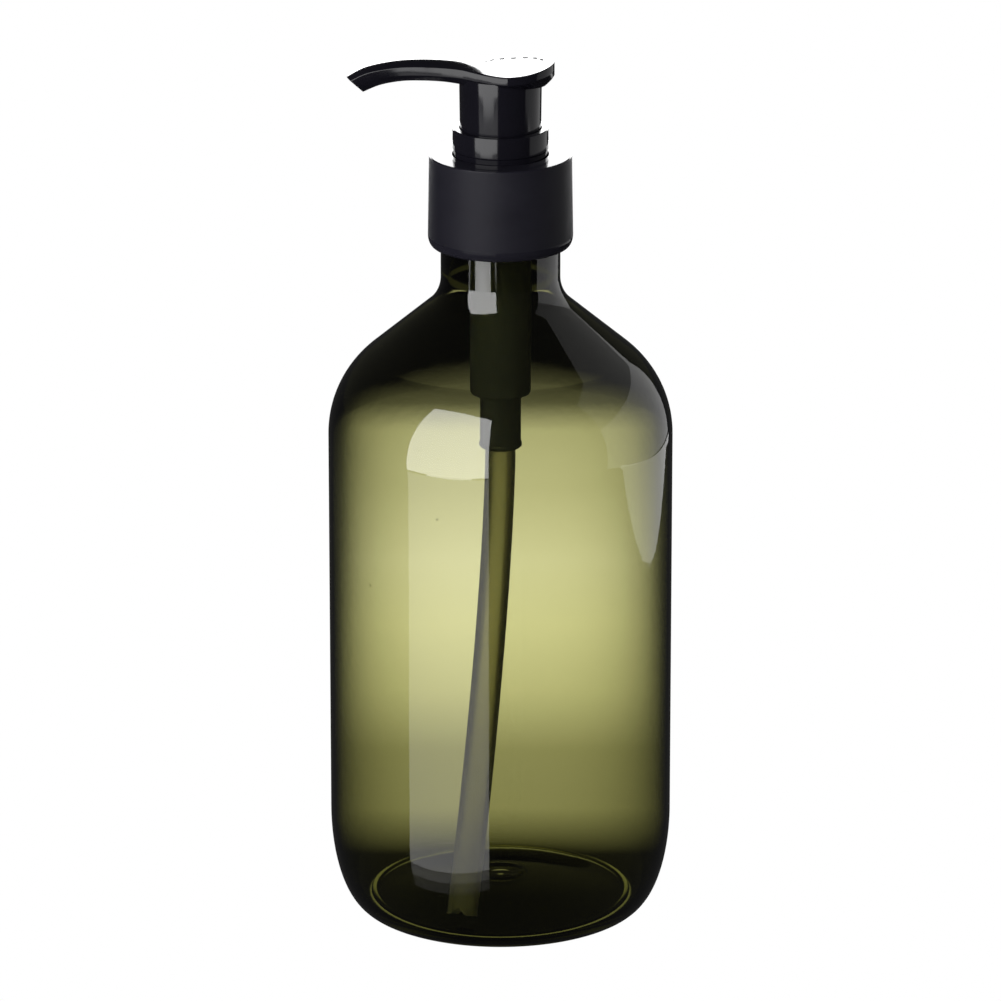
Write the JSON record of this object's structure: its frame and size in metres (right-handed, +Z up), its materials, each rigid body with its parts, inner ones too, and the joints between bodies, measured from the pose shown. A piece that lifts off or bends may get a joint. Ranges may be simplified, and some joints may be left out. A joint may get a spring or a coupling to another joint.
{
  "type": "soap pump dispenser",
  "caption": "Tall round translucent green bottle with a black screw cap and a spring-returned lotion pump whose curved spout swivels and presses down.",
  "frame": {"origin": "centre of the base on the surface that the bottle stands on", "axes": "+Z up along the bottle's axis, the spout points along -X"},
  "size_m": [0.075, 0.075, 0.1923],
  "materials": {
    "green_pet": "clear olive-green PET, glossy, darker towards the neck",
    "matt_black": "satin black polypropylene",
    "gloss_black": "polished black polypropylene",
    "stem_black": "black acetal or polypropylene, smooth",
    "milky": "natural translucent polypropylene and polyethylene",
    "soft_white": "soft white polyethylene",
    "spring_steel": "drawn stainless spring wire",
    "clear_glass": "polished check ball"
  },
  "bodies": {
    "bottle": {"bottle": "green_pet"},
    "pump_core": {"pump_housing": "milky", "lock_collar": "gloss_black", "neck_gasket": "soft_white", "dip_tube": "milky", "return_spring": "spring_steel"},
    "closure": {"closure_cap": "matt_black"},
    "inlet_valve": {"inlet_ball": "clear_glass"},
    "piston": {"piston": "soft_white"},
    "valve_stem": {"lower_stem": "stem_black"},
    "head": {"pump_head": "gloss_black", "upper_stem": "stem_black"}
  },
  "joints": [
    {"name": "core_lift", "type": "slide", "parent": "bottle", "child": "pump_core", "axis": [0, 0, 1], "range_m": [0, 0.00634]},
    {"name": "closure_turn", "type": "hinge", "parent": "pump_core", "child": "closure", "pos_m": [0, 0, 0.16], "axis": [0, 0, 1], "range_deg": [0, 540]},
    {"name": "inlet_ball_lift", "type": "slide", "parent": "pump_core", "child": "inlet_valve", "axis": [0, 0, 1], "range_m": [0, 0.0014]},
    {"name": "piston_stroke", "type": "slide", "parent": "pump_core", "child": "piston", "axis": [0, 0, -1], "range_m": [0, 0.0083], "stiffness_N_per_m": 500, "springref_m": -0.016, "deforming": ["return_spring"]},
    {"name": "valve_slip", "type": "slide", "parent": "piston", "child": "valve_stem", "axis": [0, 0, -1], "range_m": [0, 0.0015], "stiffness_N_per_m": 600, "springref_m": -0.005},
    {"name": "spout_swivel", "type": "hinge", "parent": "valve_stem", "child": "head", "pos_m": [0, 0, 0.17], "axis": [0, 0, 1], "continuous": true}
  ],
  "couplings": [
    {"joint": "closure_turn", "follows": "core_lift", "rad_per_m": 1484.3}
  ]
}
